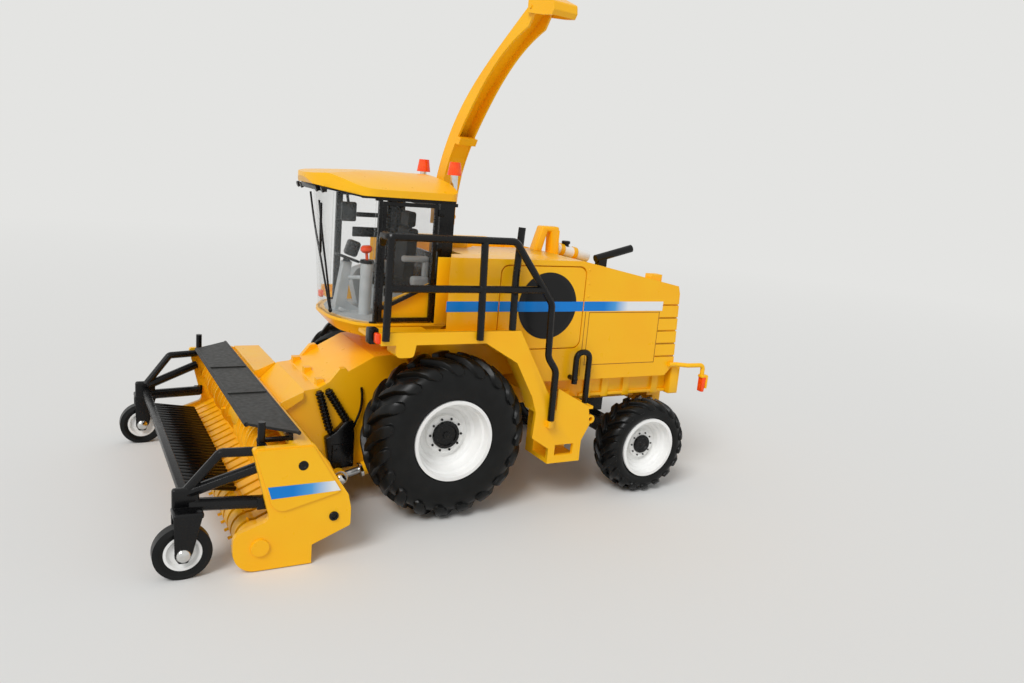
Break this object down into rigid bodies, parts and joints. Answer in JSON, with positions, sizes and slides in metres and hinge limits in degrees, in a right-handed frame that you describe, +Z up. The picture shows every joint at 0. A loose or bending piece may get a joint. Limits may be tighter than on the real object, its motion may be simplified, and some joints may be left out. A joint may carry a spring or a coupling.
{
  "type": "forage harvester model",
  "caption": "Scale model of a self-propelled forage harvester with a pick-up header, a cab with side platforms, a raised swivelling spout and steered rear wheels.",
  "frame": {"origin": "middle of the model's length and width, on the floor that the wheels stand on", "axes": "+X forward along the model, +Y to the machine's left, +Z up"},
  "size_m": [0.2076, 0.1272, 0.1749],
  "materials": {
    "black_plastic": "satin black moulding",
    "body_yellow": "glossy yellow paint and plastic",
    "chrome": "plated",
    "clear_plastic": "clear moulding",
    "grey_plastic": "dark grey moulding",
    "interior_grey": "light grey moulding",
    "orange_lens": "orange lens",
    "steel": "bright steel",
    "tyre_rubber": "soft black tyre",
    "white_plastic": "white moulding"
  },
  "bodies": {
    "machine": {"chassis": "body_yellow", "front_axle": "black_plastic", "rear_axle": "black_plastic", "engine_housing": "body_yellow", "side_doors": "body_yellow", "intake_screens": "black_plastic", "spout_cradle": "body_yellow", "exhaust": "black_plastic", "expansion_tank": "white_plastic", "cab_base": "body_yellow", "cab_frame": "black_plastic", "cab_windows": "clear_plastic", "cab_roof": "body_yellow", "light_bar": "black_plastic", "beacon_posts": "chrome", "beacon_lenses": "orange_lens", "seat": "interior_grey", "console": "interior_grey", "steering_wheel": "black_plastic", "platforms": "body_yellow", "railings": "black_plastic", "grab_rails": "black_plastic", "turn_lamps": "grey_plastic", "marker_brackets": "body_yellow", "signal_lenses": "orange_lens"},
    "cab_door": {"door_frame": "black_plastic", "door_pane": "clear_plastic"},
    "spout_turret": {"spout_turret": "body_yellow"},
    "spout": {"spout_duct": "body_yellow"},
    "spout_flap": {"spout_flap": "body_yellow"},
    "header": {"feeder_house": "body_yellow", "hoses": "black_plastic", "header_frame": "body_yellow", "header_ends": "body_yellow", "pickup_strippers": "body_yellow", "cover_plate": "grey_plastic", "cover_brackets": "black_plastic", "guard_frame": "black_plastic", "crop_comb": "black_plastic"},
    "auger": {"auger": "body_yellow"},
    "pickup_reel": {"pickup_reel": "body_yellow"},
    "tie_rod": {"tie_rod": "black_plastic"},
    "front_wheel_left": {"front_tyre_left": "tyre_rubber", "front_rim_left": "white_plastic"},
    "rear_wheel_left": {"rear_tyre_left": "tyre_rubber", "rear_rim_left": "white_plastic"},
    "gauge_wheel_left": {"gauge_tyre_left": "tyre_rubber", "gauge_rim_left": "white_plastic"},
    "knuckle_left": {"knuckle_left": "black_plastic"},
    "lift_barrel_left": {"lift_barrel_left": "body_yellow"},
    "lift_rod_left": {"lift_rod_left": "steel"},
    "front_wheel_right": {"front_tyre_right": "tyre_rubber", "front_rim_right": "white_plastic"},
    "rear_wheel_right": {"rear_tyre_right": "tyre_rubber", "rear_rim_right": "white_plastic"},
    "gauge_wheel_right": {"gauge_tyre_right": "tyre_rubber", "gauge_rim_right": "white_plastic"},
    "knuckle_right": {"knuckle_right": "black_plastic"},
    "lift_barrel_right": {"lift_barrel_right": "body_yellow"},
    "lift_rod_right": {"lift_rod_right": "steel"}
  },
  "joints": [
    {"name": "spout_slew", "type": "hinge", "parent": "machine", "child": "spout_turret", "pos_m": [-0.0063, 0, 0.09], "axis": [0, 0, 1], "range_deg": [0, 160]},
    {"name": "spout_lift", "type": "hinge", "parent": "spout_turret", "child": "spout", "pos_m": [-0.00564, -0.00374, 0.1005], "axis": [-0.9848, -0.1736, 0], "range_deg": [0, 60]},
    {"name": "flap_tilt", "type": "hinge", "parent": "spout", "child": "spout_flap", "pos_m": [-0.01384, 0.04274, 0.1712], "axis": [-0.9848, -0.1736, 0], "range_deg": [0, 35]},
    {"name": "door_swing", "type": "hinge", "parent": "machine", "child": "cab_door", "pos_m": [0.0101, 0.02395, 0.085], "axis": [0, 0, 1], "range_deg": [0, 45]},
    {"name": "header_lift", "type": "hinge", "parent": "machine", "child": "header", "pos_m": [0.0182, 0, 0.036], "axis": [0, -1, 0], "range_deg": [0, 20]},
    {"name": "auger_spin", "type": "hinge", "parent": "header", "child": "auger", "pos_m": [0.0652, 0, 0.026], "axis": [0, 1, 0], "continuous": true},
    {"name": "reel_spin", "type": "hinge", "parent": "header", "child": "pickup_reel", "pos_m": [0.0752, 0, 0.0076], "axis": [0, 1, 0], "continuous": true},
    {"name": "front_wheel_left_roll", "type": "hinge", "parent": "machine", "child": "front_wheel_left", "pos_m": [0.0082, 0.0388, 0.029], "axis": [0, 1, 0], "continuous": true},
    {"name": "steering_left", "type": "hinge", "parent": "machine", "child": "knuckle_left", "pos_m": [-0.0768, 0.029, 0.0187], "axis": [0, 0, 1], "range_deg": [-20, 20]},
    {"name": "rear_wheel_left_roll", "type": "hinge", "parent": "knuckle_left", "child": "rear_wheel_left", "pos_m": [-0.0768, 0.0398, 0.0187], "axis": [0, 1, 0], "continuous": true},
    {"name": "gauge_wheel_left_roll", "type": "hinge", "parent": "header", "child": "gauge_wheel_left", "pos_m": [0.0958, 0.0591, 0.008], "axis": [0, 1, 0], "continuous": true},
    {"name": "barrel_left_swing", "type": "hinge", "parent": "machine", "child": "lift_barrel_left", "pos_m": [0.0102, 0.0249, 0.019], "axis": [0, -1, 0], "range_deg": [0, 16.6]},
    {"name": "rod_left_slide", "type": "slide", "parent": "lift_barrel_left", "child": "lift_rod_left", "axis": [0.9667, 0, -0.2561], "range_m": [0, 0.0063]},
    {"name": "front_wheel_right_roll", "type": "hinge", "parent": "machine", "child": "front_wheel_right", "pos_m": [0.0082, -0.0388, 0.029], "axis": [0, 1, 0], "continuous": true},
    {"name": "steering_right", "type": "hinge", "parent": "machine", "child": "knuckle_right", "pos_m": [-0.0768, -0.029, 0.0187], "axis": [0, 0, 1], "range_deg": [-20, 20]},
    {"name": "rear_wheel_right_roll", "type": "hinge", "parent": "knuckle_right", "child": "rear_wheel_right", "pos_m": [-0.0768, -0.0398, 0.0187], "axis": [0, 1, 0], "continuous": true},
    {"name": "gauge_wheel_right_roll", "type": "hinge", "parent": "header", "child": "gauge_wheel_right", "pos_m": [0.0958, -0.0591, 0.008], "axis": [0, 1, 0], "continuous": true},
    {"name": "barrel_right_swing", "type": "hinge", "parent": "machine", "child": "lift_barrel_right", "pos_m": [0.0102, -0.0249, 0.019], "axis": [0, -1, 0], "range_deg": [0, 16.6]},
    {"name": "rod_right_slide", "type": "slide", "parent": "lift_barrel_right", "child": "lift_rod_right", "axis": [0.9667, 0, -0.2561], "range_m": [0, 0.0063]},
    {"name": "tie_rod_swing", "type": "hinge", "parent": "knuckle_left", "child": "tie_rod", "pos_m": [-0.0868, 0.029, 0.0135], "axis": [0, 0, 1], "range_deg": [-20, 20]}
  ],
  "couplings": [
    {"joint": "barrel_left_swing", "follows": "header_lift", "ratio": 0.826},
    {"joint": "rod_left_slide", "follows": "header_lift", "m_per_rad": 0.01773},
    {"joint": "barrel_right_swing", "follows": "header_lift", "ratio": 0.826},
    {"joint": "rod_right_slide", "follows": "header_lift", "m_per_rad": 0.01773},
    {"joint": "steering_right", "follows": "steering_left", "ratio": 1},
    {"joint": "tie_rod_swing", "follows": "steering_left", "ratio": -1}
  ]
}
